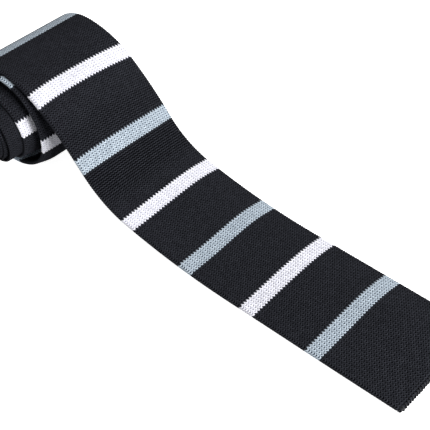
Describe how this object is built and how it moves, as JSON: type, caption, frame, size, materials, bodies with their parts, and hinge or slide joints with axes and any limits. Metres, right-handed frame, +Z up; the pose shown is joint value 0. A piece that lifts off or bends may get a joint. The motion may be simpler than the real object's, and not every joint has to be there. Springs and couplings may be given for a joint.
{
  "type": "necktie",
  "caption": "Square-ended knitted necktie with cross stripes, rolled up from its tail with the front blade laid out flat.",
  "frame": {"origin": "middle of the flat underside of the laid-out blade, on its middle line", "axes": "+X along the blade towards the square end, +Y across it, +Z up from the table"},
  "size_m": [0.2692, 0.079, 0.0578],
  "materials": {
    "black_yarn": "matte knitted polyester yarn",
    "grey_yarn": "matte knitted polyester yarn",
    "white_yarn": "matte knitted polyester yarn",
    "black_thread": "smooth spun sewing thread",
    "stay_tape": "plain woven cotton tape",
    "label_tape": "satin woven tape, blank"
  },
  "bodies": {
    "roll": {"roll_black_knit": "black_yarn", "roll_grey_knit": "grey_yarn", "roll_white_knit": "white_yarn", "neckband_knit": "black_yarn", "tail_knit": "black_yarn", "neck_stay_tape": "stay_tape", "roll_seam_thread": "black_thread", "tail_hem": "black_yarn", "tail_hem_stitches": "black_thread"},
    "ramp": {"ramp_black_knit": "black_yarn", "ramp_grey_knit": "grey_yarn", "ramp_white_knit": "white_yarn", "ramp_seam_thread": "black_thread", "keeper_loop": "black_yarn", "keeper_tacks": "black_thread", "care_label_tacks": "black_thread"},
    "care_label": {"care_label": "label_tape"},
    "flat_run": {"run_black_knit": "black_yarn", "run_grey_knit": "grey_yarn", "run_white_knit": "white_yarn", "run_seam_thread": "black_thread", "maker_label": "label_tape", "maker_label_stitches": "black_thread"},
    "square_end": {"end_black_knit": "black_yarn", "end_grey_knit": "grey_yarn", "end_seam_thread": "black_thread", "end_hem": "black_yarn", "end_hem_stitches": "black_thread", "end_corner_tacks": "black_thread"}
  },
  "joints": [
    {"name": "crest_lift", "type": "hinge", "parent": "roll", "child": "ramp", "pos_m": [-0.19362, 0, 0.05789], "axis": [0, -1, 0], "range_deg": [0, 60]},
    {"name": "foot_bend", "type": "hinge", "parent": "ramp", "child": "flat_run", "pos_m": [-0.12824, 0, 0.01338], "axis": [0, 1, 0], "range_deg": [0, 45]},
    {"name": "end_fold", "type": "hinge", "parent": "flat_run", "child": "square_end", "pos_m": [-0.014, 0, 0.0042], "axis": [0, -1, 0], "range_deg": [0, 90]},
    {"name": "care_label_flip", "type": "hinge", "parent": "ramp", "child": "care_label", "pos_m": [-0.1413, 0, 0.02421], "axis": [0, 1, 0], "range_deg": [0, 70], "stiffness_Nm_per_rad": 0.0003}
  ],
  "couplings": [
    {"joint": "foot_bend", "follows": "crest_lift", "ratio": 0.75}
  ]
}
